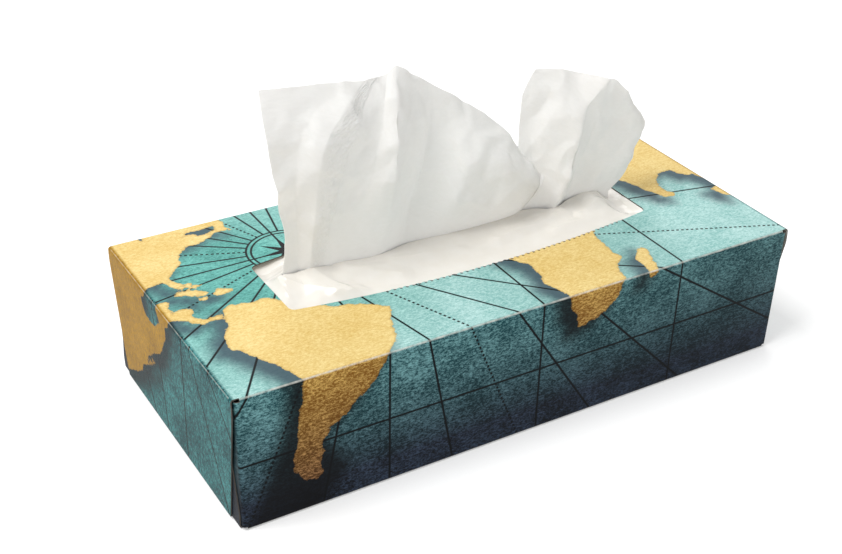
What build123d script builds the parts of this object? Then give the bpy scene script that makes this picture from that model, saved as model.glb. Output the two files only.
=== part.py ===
"""A flat pop-up tissue box: folded carton, opening film, tissue stack and the tissue that stands in the slit.

Millimetres, +Z up. The origin is the middle of the carton's underside.
X runs along the carton and the front is -Y.
"""
import os

from build123d import *

# The carton, over its outside
CARTON_LENGTH = 230.0
CARTON_WIDTH = 110.0
CARTON_HEIGHT = 53.0
BOARD = 0.45
FOLD_RADIUS = 0.7  # of the sleeve's folds, at the middle of the board
END_FOLD_RADIUS = 1.0  # of the flaps' folds, at the middle of the board
GLUE_LINE = 0.1  # between two glued layers of board

# The seam that closes the sleeve, inside the back panel
SEAM_FLAP = 14.0
SEAM_LIFT = 0.6  # the back panel's cut edge over the table

# The flaps that close each end
OUTER_FLAP_LIFT = 1.0  # the outer flap's free edge over the table
OUTER_FLAP_TAPER = 7.5  # how far each side draws in towards the free edge
FLAP_SHOULDER = 6.0  # from a closing flap's fold to where it is widest
FLAP_NOTCH = 1.4  # the rounded relief at each end of a closing flap's fold
FLAP_SIDE_GAP = 0.3
FOLD_LEAD = 0.7  # straight board between the cuts beside the flaps and the first fold
INNER_FLAP = 40.0
INNER_FLAP_TAPER = 6.0
INNER_FLAP_SIDE_GAP = 1.5
DUST_FLAP = 46.0
DUST_FLAP_GAP = 0.8  # between a dust flap's edges and the panels above and below it
DUST_FLAP_CORNER = 8.0

# The dispensing opening in the top panel
OPENING_LENGTH = 152.0
OPENING_END_WIDTH = 33.0
OPENING_MIDDLE_WIDTH = 46.0
OPENING_CORNER = 2.5

# The film under the opening, drawn up to the lips of its slit
FILM = 0.1
FILM_GLUE_MARGIN = 8.0
FILM_RISE = 3.0
LIP_MARGIN = 3.0  # between the opening's edge and the place where the film starts to rise
SLIT_END_MARGIN = 3.0  # between the opening's ends and the slit's ends
SLIT_END_WIDTH = 4.0
SLIT_MIDDLE_WIDTH = 14.0

# The interfolded stack, and the room that the carton leaves round it
STACK_END_ROOM = 12.5
STACK_SIDE_ROOM = 4.0
STACK_HEADROOM = 10.0
SHEET_WIDTH = CARTON_LENGTH - 2 * STACK_END_ROOM
FOLDED_DEPTH = CARTON_WIDTH - 2 * STACK_SIDE_ROOM
STACK_HEIGHT = CARTON_HEIGHT - STACK_HEADROOM
STACK_ROUND = 3.0

# The tissue that stands in the slit
TISSUE = 0.25
TISSUE_SEAT_GAP = 0.3
TISSUE_END_GAP = 2.5  # between the gathered sheet and the slit's ends
CREST_HEIGHT = 71.0  # its highest point over the top panel
WAIST_HEIGHT = 2.0  # over the top panel, where the slit holds it
FOOT_EDGE_ROOM = 7.0  # between its lower end, which lies back on the stack, and the stack's edge
FOOT_BEND = 2.5
LEVELS = (0.26, 0.54, 0.8, 1.0)  # heights above the waist, as shares of each pleat's own crest
PLEAT_STEPS = 2  # creases between two levels
SHEET_STEPS = 2  # creases from one pleat to the next

# Each pleat, from the sheet's left edge to its right edge: the crest's height as a share of CREST_HEIGHT,
# then the place along and across the slit at the waist and at each level.
PLEATS = [
    (1.00, (-71, 0), (-70, -1), (-73, -2), (-75, 0), (-74, 5)),
    (0.97, (-65, 0.5), (-64.5, 0), (-65.5, -2), (-63, -2), (-54, 5)),
    (0.96, (-61, -1), (-60.5, -4), (-59, -6), (-55, -7), (-36, 3)),
    (0.95, (-55, 0), (-51, 1), (-45, 3), (-39, 4), (-30, 6)),
    (0.96, (-45, -1), (-42, -2), (-37, -1), (-32, 1), (-27, 5)),
    (0.99, (-34, -1.5), (-31, -5), (-30, -8), (-28, -5), (-24, 4)),
    (0.86, (-22.5, 1), (-18, 3), (-12, 5), (-8, 6), (-10, 6)),
    (0.71, (-7, 0), (-5, -4), (0, -5), (4, 0), (5, 7)),
    (0.56, (9.5, 0), (11, -4), (13, -6), (16, -4), (20, 5)),
    (0.39, (18, 0.5), (20.5, -4), (23, -6), (26, -5), (28.5, 1)),
    (0.25, (25, 1), (28, -2.5), (31, -4.5), (34, -5.5), (36, -4)),
    (0.28, (29, 2), (33.5, 0.5), (36, -1), (36, -1), (34.5, 0.5)),
    (0.385, (32, 2.5), (37, 2), (37.5, 2), (34.5, 3), (29.8, 6)),
    (0.66, (36, 3), (40, 1.5), (38, 3), (34.5, 6.5), (32, 9)),
    (0.79, (39.5, 2.5), (41.5, 0), (42, 0.5), (41.5, 4), (37, 8)),
    (0.775, (40.5, 1.2), (42, -1.5), (43.5, -1.8), (45, 1), (46.5, 6)),
    (0.755, (41, 0), (42, -3), (45, -4), (49, -2), (54.5, 3)),
    (0.735, (42, -3.5), (43, -7), (47, -10), (54, -10), (63, -5)),
    (0.59, (57, 0.5), (63, 1), (69, 2), (74, 1), (75, 0)),
    (0.46, (65, 0.5), (71, -2), (77, -3), (82, -2), (82.5, 1)),
    (0.365, (70, 0), (79, 2), (84, 4), (87.5, 5), (88, 5)),
]


def strip(points, radius):
    """The section of a strip of board folded along a line of points, given at the middle of the board."""
    return trace(FilletPolyline(*points, radius=radius), BOARD)


def barrel(length, end_width, middle_width):
    """A slot with straight ends and long sides that bow outwards."""
    end, half_end, half_middle = length / 2, end_width / 2, middle_width / 2
    front = ThreePointArc((-end, -half_end), (0, -half_middle), (end, -half_end))
    back = ThreePointArc((end, half_end), (0, half_middle), (-end, half_end))
    right = Line((end, -half_end), (end, half_end))
    left = Line((-end, half_end), (-end, -half_end))
    return make_face(front + right + back + left)


def make_sleeve(half_length):
    """The four panels and the seam flap, as one folded strip."""
    top = CARTON_HEIGHT - BOARD / 2
    side = CARTON_WIDTH / 2 - BOARD / 2
    seam = side - BOARD - GLUE_LINE
    corners = [
        (side, SEAM_LIFT), (side, top), (-side, top),
        (-side, BOARD / 2), (seam, BOARD / 2), (seam, SEAM_FLAP),
    ]
    section = strip(corners, FOLD_RADIUS)
    return extrude(Plane.YZ * section, half_length, both=True)


def closing_flap(path, fold_z, free_z, half_width, taper):
    """A flap across the end: relieved at its fold, widest at its shoulders, drawn in to its free edge."""
    down = -1 if free_z < fold_z else 1
    shoulder_z = fold_z + down * FLAP_SHOULDER
    neck, shoulder, tip = half_width - FLAP_NOTCH, half_width, half_width - taper
    relief = EllipticalCenterArc((neck, shoulder_z), FLAP_NOTCH, FLAP_SHOULDER, arc_size=-90 * down)
    side = relief + Line((shoulder, shoulder_z), (tip, free_z))
    ends = Line((-neck, fold_z), (neck, fold_z)) + Line((-tip, free_z), (tip, free_z))
    outline = Plane.YZ * make_face(side + mirror(side, Plane.YZ) + ends)
    folded = extrude(Plane.XZ * strip(path, END_FOLD_RADIUS), half_width, both=True)
    return folded & extrude(outline, CARTON_LENGTH)


def make_end_flaps(sleeve_end):
    """The flaps of the right end, each with its own fold: outer, inner and two dust flaps."""
    outer_x = CARTON_LENGTH / 2 - BOARD / 2
    inner_x = outer_x - BOARD - GLUE_LINE
    dust_x = inner_x - BOARD - GLUE_LINE
    top, bottom = CARTON_HEIGHT - BOARD / 2, BOARD / 2

    outer_flap = closing_flap(
        [(sleeve_end, top), (outer_x, top), (outer_x, OUTER_FLAP_LIFT)],
        CARTON_HEIGHT, OUTER_FLAP_LIFT, CARTON_WIDTH / 2 - FLAP_SIDE_GAP, OUTER_FLAP_TAPER)
    inner_flap = closing_flap(
        [(sleeve_end, bottom), (inner_x, bottom), (inner_x, INNER_FLAP)],
        0, INNER_FLAP, CARTON_WIDTH / 2 - INNER_FLAP_SIDE_GAP, INNER_FLAP_TAPER)

    flaps = [outer_flap, inner_flap]
    low, high = BOARD + DUST_FLAP_GAP, CARTON_HEIGHT - BOARD - DUST_FLAP_GAP
    for side in (-1, 1):
        wall = side * (CARTON_WIDTH / 2 - BOARD / 2)
        tip = side * (CARTON_WIDTH / 2 - DUST_FLAP)
        section = strip([(sleeve_end, wall), (dust_x, wall), (dust_x, tip)], END_FOLD_RADIUS)
        flap = Pos(0, 0, low) * extrude(section, high - low)
        short_edges = flap.edges().filter_by(Axis.X).group_by(SortBy.LENGTH)[0]
        tip_edges = short_edges.group_by(Axis.Y)[0 if side > 0 else -1]
        flaps.append(chamfer(tip_edges, DUST_FLAP_CORNER))
    return flaps


def make_carton():
    """The folded and glued carton, with the tear-out piece of its opening gone."""
    sleeve_end = CARTON_LENGTH / 2 - BOARD / 2 - 2 * (BOARD + GLUE_LINE) - END_FOLD_RADIUS - FOLD_LEAD
    carton = make_sleeve(sleeve_end)
    for flap in make_end_flaps(sleeve_end):
        carton += flap
        carton += mirror(flap, Plane.YZ)
    opening = barrel(OPENING_LENGTH, OPENING_END_WIDTH, OPENING_MIDDLE_WIDTH)
    opening = fillet(opening.vertices(), OPENING_CORNER)
    return carton - Pos(0, 0, CARTON_HEIGHT) * extrude(opening, 2 * BOARD, both=True)


def make_film():
    """The film: a flat margin glued under the top panel, and a low mound whose lips hold the tissue."""
    level = CARTON_HEIGHT - BOARD - FILM
    slit_length = OPENING_LENGTH - 2 * SLIT_END_MARGIN
    foot = barrel(OPENING_LENGTH, OPENING_END_WIDTH - 2 * LIP_MARGIN, OPENING_MIDDLE_WIDTH - 2 * LIP_MARGIN)
    slit = barrel(slit_length, SLIT_END_WIDTH, SLIT_MIDDLE_WIDTH)
    margin = Rectangle(OPENING_LENGTH + 2 * FILM_GLUE_MARGIN, OPENING_MIDDLE_WIDTH + 2 * FILM_GLUE_MARGIN)
    mound = loft([Pos(0, 0, level + FILM) * foot, Pos(0, 0, level + FILM + FILM_RISE) * slit], ruled=True)
    film = Pos(0, 0, level) * extrude(margin - foot, FILM)
    film += mound + Pos(0, 0, level) * extrude(foot, FILM) - Pos(0, 0, -FILM) * mound
    return film - Pos(0, 0, level) * extrude(slit, 2 * FILM_RISE)


def make_stack():
    """The interfolded tissues, resting on the bottom panel; the folds round the two long sides."""
    section = Plane.YZ * RectangleRounded(FOLDED_DEPTH, STACK_HEIGHT, STACK_ROUND)
    return Pos(0, 0, BOARD + STACK_HEIGHT / 2) * extrude(section, SHEET_WIDTH / 2, both=True)


def smooth(points, steps):
    """Points on a smooth curve through the given ones, the same number of steps in each span."""
    spans = len(points) - 1
    curve = Edge.make_spline(points, parameters=[i / spans for i in range(spans + 1)])
    count = spans * steps
    return [curve.position_at(i / count, PositionMode.PARAMETER) for i in range(count + 1)]


def creased_sheet(net, thickness):
    """A thin solid on a net of points, creased along the net: two skins and the cut edge that joins them."""
    last_i, last_j = len(net) - 1, len(net[0]) - 1

    def normal(i, j):
        along = net[min(i + 1, last_i)][j] - net[max(i - 1, 0)][j]
        up = net[i][min(j + 1, last_j)] - net[i][max(j - 1, 0)]
        return along.cross(up).normalized()

    def skin(offset):
        return [[net[i][j] + normal(i, j) * offset for j in range(last_j + 1)] for i in range(last_i + 1)]

    front, back = skin(thickness / 2), skin(-thickness / 2)
    triangles = []
    for i in range(last_i):
        for j in range(last_j):
            for points in (front, back):
                a, b, c, d = points[i][j], points[i + 1][j], points[i + 1][j + 1], points[i][j + 1]
                triangles += [(a, b, c), (a, c, d)]
    rim = [(i, 0) for i in range(last_i)]
    rim += [(last_i, j) for j in range(last_j)]
    rim += [(i, last_j) for i in range(last_i, 0, -1)]
    rim += [(0, j) for j in range(last_j, 0, -1)]
    for (i, j), (k, m) in zip(rim, rim[1:] + rim[:1]):
        a, b, c, d = front[i][j], front[k][m], back[k][m], back[i][j]
        triangles += [(a, b, c), (a, c, d)]
    return Solid(Shell([Face(Wire.make_polygon(corners)) for corners in triangles]))


def make_tissue():
    """One sheet: its lower end lies back on the stack, the slit gathers it, and its pleats flare above."""
    waist_z = CARTON_HEIGHT + WAIST_HEIGHT
    foot_z = BOARD + STACK_HEIGHT + TISSUE_SEAT_GAP + TISSUE / 2
    waists = [pleat[1][0] for pleat in PLEATS]
    gather = OPENING_LENGTH - 2 * (SLIT_END_MARGIN + TISSUE_END_GAP)
    spread = gather / (max(waists) - min(waists))
    lines = []
    for share, (x, y), *upper in PLEATS:
        rise = share * CREST_HEIGHT - WAIST_HEIGHT
        pleat = [Vector(x * spread, y, waist_z)]
        pleat += [Vector(a * spread, b, waist_z + level * rise) for level, (a, b) in zip(LEVELS, upper)]
        foot = [
            Vector(x * spread, FOLDED_DEPTH / 2 - FOOT_EDGE_ROOM, foot_z),
            Vector(x * spread, y + FOOT_BEND, foot_z),
            Vector(x * spread, y, foot_z + FOOT_BEND),
        ]
        lines.append(foot + smooth(pleat, PLEAT_STEPS))
    rows = [smooth(row, SHEET_STEPS) for row in zip(*lines)]
    return creased_sheet([list(column) for column in zip(*rows)], TISSUE)


nodes = {
    "carton": make_carton(),
    "opening_film": make_film(),
    "tissue_stack": make_stack(),
    "pop_up_tissue": make_tissue(),
}

os.makedirs("parts", exist_ok=True)
for name, shape in nodes.items():
    export_step(shape, f"parts/{name}.step")
    print(name, "volume", round(shape.volume), "mm3")
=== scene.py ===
# %% [markdown]
# # A flat tissue box, dressed on its CAD frame
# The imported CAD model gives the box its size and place: a folded carton, the film under its opening, a
# stack of tissues and one tissue standing in the slit. Each solid gets a detailed piece here, with the
# finish of the real one. Lengths in the cells are in millimetres, as a carton maker writes them, and meshes
# are made in metres.

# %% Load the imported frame
import math

import bpy
import numpy as np
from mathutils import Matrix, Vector, geometry, kdtree, noise


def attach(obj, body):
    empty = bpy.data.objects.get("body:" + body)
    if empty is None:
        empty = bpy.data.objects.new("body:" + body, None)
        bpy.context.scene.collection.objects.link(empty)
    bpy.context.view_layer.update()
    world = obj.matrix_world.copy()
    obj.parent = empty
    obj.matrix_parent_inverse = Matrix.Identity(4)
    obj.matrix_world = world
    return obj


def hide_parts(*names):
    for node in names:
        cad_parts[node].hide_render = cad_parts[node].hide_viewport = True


MM = 0.001
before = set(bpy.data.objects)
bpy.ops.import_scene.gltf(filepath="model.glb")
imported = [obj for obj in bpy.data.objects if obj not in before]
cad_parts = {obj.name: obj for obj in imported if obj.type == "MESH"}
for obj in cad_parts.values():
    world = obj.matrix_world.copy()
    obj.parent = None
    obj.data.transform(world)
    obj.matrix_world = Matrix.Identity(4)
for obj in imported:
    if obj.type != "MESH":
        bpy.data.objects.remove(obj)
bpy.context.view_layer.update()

# %% [markdown]
# ## Helpers
# Blender's colour sockets take linear light, while each colour given here is an sRGB hex value, so one
# function turns the one into the other. A second function adds a shader node with its settings and links.
# Nodes could be wired one call at a time, but then each would take four lines.


# %% Colours and nodes
def linear(hex_colour):
    """An sRGB hex colour as linear red, green, blue and alpha."""
    parts = [int(hex_colour[i:i + 2], 16) / 255 for i in (1, 3, 5)]
    return [c / 12.92 if c <= 0.04045 else ((c + 0.055) / 1.055) ** 2.4 for c in parts] + [1.0]


def add(tree, kind, inputs=None, **settings):
    """One new shader node: its settings, then its inputs, each a value, a colour or a node to link."""
    node = tree.nodes.new("ShaderNode" + kind)
    for name, value in settings.items():
        setattr(node, name, value)
    for key, value in (inputs or {}).items():
        socket = node.inputs[key] if isinstance(key, int) else next(
            s for s in node.inputs if s.enabled and s.name == key)
        if isinstance(value, bpy.types.Node):
            value = next(s for s in value.outputs if s.enabled)
        if isinstance(value, bpy.types.NodeSocket):
            tree.links.new(value, socket)
        else:
            socket.default_value = linear(value) if isinstance(value, str) else value
    return node


def empty_material(name):
    """A material with an empty node tree."""
    material = bpy.data.materials.new(name)
    material.use_nodes = True
    material.node_tree.nodes.clear()
    return material


print("gold as linear light", [round(c, 3) for c in linear("#e6c67b")])

# %% [markdown]
# ## Thin sheets
# Board, film and tissue are all thin sheets, so one helper makes each of them from its middle surface: it
# sets one skin half a thickness out and one half a thickness in, and joins them along the cut edge.
# Blender's Solidify would do this too, but here the folds' exact outward sides are known, and the cut edge
# gets its own material.


# %% From a middle surface to a closed sheet
def thin_sheet(points, outward, faces, thickness):
    """Points and faces of a closed sheet, and each face's kind: 0 outer skin, 1 inside, 2 cut edge."""
    count = len(points)
    skins = np.vstack([points + outward * thickness / 2, points - outward * thickness / 2])
    outer = []
    for face in faces:
        a, b, c = (points[i] for i in face[:3])
        faces_out = np.dot(np.cross(b - a, c - a), outward[list(face)].sum(0)) > 0
        outer.append(tuple(face) if faces_out else tuple(reversed(face)))
    inner = [tuple(i + count for i in reversed(face)) for face in outer]
    edges = {edge for face in outer for edge in zip(face, face[1:] + face[:1])}
    rim = [(b, a, a + count, b + count) for a, b in sorted(edges) if (b, a) not in edges]
    kinds = [0] * len(outer) + [1] * len(inner) + [2] * len(rim)
    return skins, outer + inner + rim, kinds


def new_piece(name, points, faces, materials, kinds, sharp=50):
    """A shown mesh object on the root body, its points given in millimetres."""
    mesh = bpy.data.meshes.new(name)
    mesh.from_pydata((np.asarray(points) * MM).tolist(), [], faces)
    for material in materials:
        mesh.materials.append(material)
    mesh.polygons.foreach_set("material_index", kinds)
    mesh.shade_smooth()
    mesh.set_sharp_from_angle(angle=math.radians(sharp))
    mesh.validate()
    piece = bpy.data.objects.new(name, mesh)
    bpy.context.scene.collection.objects.link(piece)
    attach(piece, "root")
    print(name, len(points), "points,", len(faces), "faces")
    return piece


def store(piece, name, kind, values):
    """Keeps one value for each point of a mesh, for its material to read."""
    field = "vector" if kind == "FLOAT_VECTOR" else "value"
    attribute = piece.data.attributes.new(name, kind, "POINT")
    attribute.data.foreach_set(field, np.asarray(values, np.float32).ravel())


def lumps(points, size, seed=0.0):
    """Smooth noise from -1 to 1 at points in millimetres, with lumps about as large as size."""
    shift = Vector((seed, 2 * seed, 3 * seed))
    return np.array([noise.noise(Vector(p) / size + shift) for p in points])


# %% [markdown]
# ## The camera
# The photograph was taken from above the near left corner. Its place, turn and lens come from the box's
# corners in the picture, and the picture was cropped, so the lens's own middle isn't the picture's middle:
# a small shift stands for that.

# %% Camera
PICTURE_WIDTH = 842
camera_data = bpy.data.cameras.new("camera")
camera_data.sensor_width = 36.0
camera_data.lens = 1352.6 / PICTURE_WIDTH * camera_data.sensor_width
camera_data.shift_x = -19 / PICTURE_WIDTH
camera_data.shift_y = 83 / PICTURE_WIDTH
camera = bpy.data.objects.new("camera", camera_data)
bpy.context.scene.collection.objects.link(camera)
CAMERA_AT = (-0.2379, -0.3716, 0.2983)
CAMERA_TURN = (55.71, -1.44, -31.04)
camera.location = CAMERA_AT
camera.rotation_euler = [math.radians(angle) for angle in CAMERA_TURN]
bpy.context.scene.camera = camera
print("lens", round(camera_data.lens, 2), "mm, turned by", CAMERA_TURN, "degrees")

# %% [markdown]
# ## The carton's blank
# The real carton is one die-cut sheet of board: a sleeve of four panels in a row, flaps at both ends of
# each panel and a seam flap. It could be modelled as a box with flaps stuck on, but then the print would
# break at each fold. So the blank is laid out flat first, with its length across and its girth down, as it
# goes through the press. It is meshed and printed flat, and only then folded.

# %% Carton sizes and folded lines
LENGTH, WIDTH, HEIGHT = 230.0, 110.0, 53.0
BOARD = 0.45
GLUE_LINE = 0.1
SLEEVE_FOLD, END_FOLD = 0.7, 1.0
SEAM_FLAP, SEAM_LIFT = 14.0, 0.6
OUTER_FLAP_LIFT = 1.0
FLAP_SHOULDER, FLAP_NOTCH = 6.0, 0.6
INNER_FLAP, DUST_FLAP = 40.0, 46.0
DUST_GAP, DUST_CORNER = 0.8, 8.0
OUTER_X = LENGTH / 2 - BOARD / 2
INNER_X = OUTER_X - BOARD - GLUE_LINE
DUST_X = INNER_X - BOARD - GLUE_LINE
SLEEVE_END = DUST_X - END_FOLD - 0.7
TOP_Z, BOTTOM_Z, WALL_Y = HEIGHT - BOARD / 2, BOARD / 2, WIDTH / 2 - BOARD / 2


def folded_line(corners, radius, side, steps=5):
    """The middle line of a folded strip: length so far, places and outward sides at each bend's samples."""
    corners = [np.array(c, float) for c in corners]
    lengths, places, outs = [0.0], [corners[0]], []
    for before, corner, after in zip(corners, corners[1:], corners[2:]):
        way_in = (corner - before) / np.linalg.norm(corner - before)
        way_out = (after - corner) / np.linalg.norm(after - corner)
        lengths.append(lengths[-1] + np.linalg.norm(corner - way_in * radius - places[-1]))
        if not outs:
            outs.append(way_in)
        for k in range(steps + 1):
            turn = math.pi / 2 * k / steps
            places.append(corner + (way_out - way_in) * radius
                          + radius * (way_in * math.sin(turn) - way_out * math.cos(turn)))
            outs.append(way_in * math.cos(turn) + way_out * math.sin(turn))
            if k:
                lengths.append(lengths[-1] + radius * math.pi / 2 / steps)
    lengths.append(lengths[-1] + np.linalg.norm(corners[-1] - places[-1]))
    places.append(corners[-1])
    outs.append(outs[-1])
    sides = np.array([(way[1], -way[0]) for way in outs]) * side
    return np.array(lengths), np.array(places), sides


def on_line(line, lengths):
    """Places and outward sides at lengths along a folded line."""
    table, places, sides = line
    place = np.column_stack([np.interp(lengths, table, places[:, k]) for k in (0, 1)])
    side = np.column_stack([np.interp(lengths, table, sides[:, k]) for k in (0, 1)])
    return place, side / np.linalg.norm(side, axis=1, keepdims=True)


SEAM_Y = WALL_Y - BOARD - GLUE_LINE
girth = folded_line([(WALL_Y, SEAM_LIFT), (WALL_Y, TOP_Z), (-WALL_Y, TOP_Z), (-WALL_Y, BOTTOM_Z),
                     (SEAM_Y, BOTTOM_Z), (SEAM_Y, SEAM_FLAP)], SLEEVE_FOLD, 1)
flap_lines = {
    "outer": folded_line([(SLEEVE_END, TOP_Z), (OUTER_X, TOP_Z), (OUTER_X, OUTER_FLAP_LIFT)], END_FOLD, -1),
    "inner": folded_line([(SLEEVE_END, BOTTOM_Z), (INNER_X, BOTTOM_Z), (INNER_X, INNER_FLAP)], END_FOLD, 1),
    "back": folded_line([(SLEEVE_END, WALL_Y), (DUST_X, WALL_Y), (DUST_X, WALL_Y - DUST_FLAP)], END_FOLD, -1),
    "front": folded_line([(SLEEVE_END, -WALL_Y), (DUST_X, -WALL_Y), (DUST_X, DUST_FLAP - WALL_Y)],
                         END_FOLD, 1),
}
BENDS = [(girth[0][1 + 6 * k], girth[0][6 + 6 * k]) for k in range(4)]  # each fold's start and end
TOP_MIDDLE = (BENDS[0][1] + BENDS[1][0]) / 2
UNDER_MIDDLE = BENDS[2][1] + WALL_Y - SLEEVE_FOLD
print("girth", round(girth[0][-1], 1), "mm, folds at", [round(sum(b) / 2, 1) for b in BENDS])

# %% [markdown]
# ## Outline of the blank
# The flaps' outlines follow the cutting die: the outer and inner closing flaps are relieved at the fold so
# that the corners don't bind, then wide at the shoulder, then drawn in. The opening's long sides were
# perforated, so tearing its piece out left a row of small teeth. A bevelled edge in the material would only
# hint at them, so they are cut.

# %% Flap and opening outlines
OUTER_INSET, OUTER_TAPER = 0.3, 7.5
INNER_INSET, INNER_TAPER = 1.5, 6.0


def closing_flap_edge(line, level, inset, taper):
    """(distance along the flap, half width) from a closing flap's root to its free edge."""
    lengths = np.unique(np.concatenate([line[0], np.arange(0, line[0][-1], 1.5)]))
    heights = np.abs(on_line(line, lengths)[0][:, 1] - level)
    rise = np.clip(1 - heights / FLAP_SHOULDER, 0, 1)
    shoulder = WIDTH / 2 - inset - FLAP_NOTCH + FLAP_NOTCH * np.sqrt(1 - rise ** 2)
    drawn_in = taper * np.clip((heights - FLAP_SHOULDER) / (heights[-1] - FLAP_SHOULDER), 0, 1)
    return list(zip(lengths, shoulder - drawn_in))


def right_side():
    """The blank's right edge, flaps included, from the back panel's cut edge to the seam flap."""
    low, high = BOARD + DUST_GAP, HEIGHT - BOARD - DUST_GAP
    edge = [(0.0, 0.0)]

    def dust(root, way, reach):
        first, last = root, root + way * (high - low)
        for along, at in ((0, first), (reach - DUST_CORNER, first), (reach, first + way * DUST_CORNER),
                          (reach, last - way * DUST_CORNER), (reach - DUST_CORNER, last), (0, last)):
            edge.append((along, at))

    def closing(middle, profile):
        edge.extend((along, middle - half) for along, half in profile)
        edge.extend((along, middle + half) for along, half in reversed(profile))

    dust(low - SEAM_LIFT, 1, flap_lines["back"][0][-1])
    closing(TOP_MIDDLE, closing_flap_edge(flap_lines["outer"], HEIGHT, OUTER_INSET, OUTER_TAPER))
    dust(BENDS[1][1] + TOP_Z - SLEEVE_FOLD - high, 1, flap_lines["front"][0][-1])
    closing(UNDER_MIDDLE, closing_flap_edge(flap_lines["inner"], 0, INNER_INSET, INNER_TAPER))
    edge.append((0.0, girth[0][-1]))
    return [(SLEEVE_END + along, at) for along, at in edge]


OPENING_LENGTH, OPENING_END, OPENING_MIDDLE, OPENING_CORNER = 152.0, 33.0, 46.0, 2.5
TEETH_FROM, TEETH_TO, TOOTH_PITCH, TOOTH_DEPTH = -40.0, 62.0, 2.4, 0.6


def bowed(x, length, end_width, middle_width):
    """Half width of a slot whose long sides bow out from its ends to its middle."""
    half, sag = length / 2, (middle_width - end_width) / 2
    radius = (half ** 2 + sag ** 2) / (2 * sag)
    return middle_width / 2 - radius + np.sqrt(radius ** 2 - np.minimum(np.abs(x), half) ** 2)


def opening_outline():
    """The opening's edge as it was torn, in plan."""
    half = OPENING_LENGTH / 2
    xs = list(np.arange(-half + OPENING_CORNER, TEETH_FROM, 2.0))
    xs += list(np.arange(TEETH_FROM, TEETH_TO, TOOTH_PITCH / 4))
    xs += list(np.arange(TEETH_TO, half - OPENING_CORNER, 2.0)) + [half - OPENING_CORNER]
    phase = np.array([(x - TEETH_FROM) / TOOTH_PITCH % 1 for x in xs])
    tooth = np.where((phase > 0.2) & (phase < 0.7), TOOTH_DEPTH, 0.0)
    tooth *= [TEETH_FROM < x < TEETH_TO for x in xs]
    tooth *= 0.65 + 0.5 * lumps([(x, 0, 0) for x in xs], 3.0)
    half_width = bowed(np.array(xs), OPENING_LENGTH, OPENING_END, OPENING_MIDDLE)
    long_side = np.column_stack([xs, half_width - tooth])
    turns = [math.radians(a) for a in (20, 40, 60, 80)]
    end_y = long_side[-1][1] - OPENING_CORNER
    corner = [(half - OPENING_CORNER + OPENING_CORNER * math.sin(a), end_y + OPENING_CORNER * math.cos(a))
              for a in turns] + [(half, end_y)]
    quarter = [tuple(p) for p in long_side] + corner
    back = quarter + [(half, 0.0)] + [(x, -y) for x, y in reversed(corner)]
    front = [(x, -y) for x, y in long_side[::-1]]
    left = [(-x, -y) for x, y in corner] + [(-half, 0.0)] + [(-x, y) for x, y in reversed(corner)]
    return back + front + left


right = right_side()
blank_outline = right + [(-u, s) for u, s in reversed(right)]
opening = [(x, TOP_MIDDLE - y) for x, y in opening_outline()]
print("blank outline", len(blank_outline), "points, opening", len(opening), "points")

# %% [markdown]
# ## Meshing the flat blank
# A grid over the blank carries the print, with extra rows through each fold so that it bends roundly. Where
# the grid meets the cut edges, Blender's own constrained triangulation joins the two, which a plain grid
# with deleted faces would leave stepped.

# %% Rows, columns and triangles
FINE, COARSE = 1.5, 6.0


def stations(bends, last, sizes):
    """Grid lines along one way: close through each bend, a given size apart on the panels between."""
    lines, start = [], 0.0
    for (first, end), size in zip(bends + [(last, last)], sizes):
        lines += list(np.linspace(start, first, max(2, round((first - start) / size) + 1)))
        if end > first:
            lines += list(np.linspace(first, end, 6))[1:-1]
        start = end
    return np.unique(np.round(lines, 6))


def split_at(outline, rows, columns):
    """A closed outline with extra points where it crosses the grid's lines."""
    points = []
    for (u0, s0), (u1, s1) in zip(outline, outline[1:] + outline[:1]):
        cuts = {0.0}
        for lines, low, high in ((columns, u0, u1), (rows, s0, s1)):
            if abs(high - low) > 1e-6:
                shares = (lines - low) / (high - low)
                cuts.update(float(t) for t in shares if 0.02 < t < 0.98)
        points += [(u0 + (u1 - u0) * t, s0 + (s1 - s0) * t) for t in sorted(cuts)]
    return points


def within(points, outline):
    """True for each flat point inside a closed outline."""
    a = np.array(outline)
    b = np.roll(a, -1, axis=0)
    found = []
    for part in np.array_split(np.asarray(points), max(1, len(points) // 4000)):
        above = (a[:, 1] > part[:, 1:2]) != (b[:, 1] > part[:, 1:2])
        rise = np.where(b[:, 1] == a[:, 1], 1.0, b[:, 1] - a[:, 1])
        meets = a[:, 0] + (part[:, 1:2] - a[:, 1]) * (b[:, 0] - a[:, 0]) / rise
        found.append((above & (part[:, 0:1] < meets)).sum(1) % 2 == 1)
    return np.concatenate(found)


def triangulate(loops, grid, clear):
    """Points and triangles of a flat sheet: the first loop is its outline, the others are cut out of it."""
    edge_points, edges = [], []
    for loop in loops:
        first = len(edge_points)
        edge_points += loop
        edges += [(first + i, first + (i + 1) % len(loop)) for i in range(len(loop))]
    near = kdtree.KDTree(len(edge_points))
    for i, (u, s) in enumerate(edge_points):
        near.insert((u, s, 0), i)
    near.balance()
    grid = grid[within(grid, loops[0])]
    for hole in loops[1:]:
        grid = grid[~within(grid, hole)]
    grid = [tuple(p) for p in grid if near.find((p[0], p[1], 0))[2] > clear]
    corners = [Vector(p) for p in edge_points + grid]
    flat, _, triangles, *_ = geometry.delaunay_2d_cdt(corners, edges, [], 0, 1e-5)
    flat = np.array([tuple(p) for p in flat])
    triangles = np.array([tuple(t) for t in triangles])
    middles = flat[triangles].mean(axis=1)
    kept = within(middles, loops[0])
    for hole in loops[1:]:
        kept &= ~within(middles, hole)
    return flat, [tuple(int(i) for i in t) for t in triangles[kept]]


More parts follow.
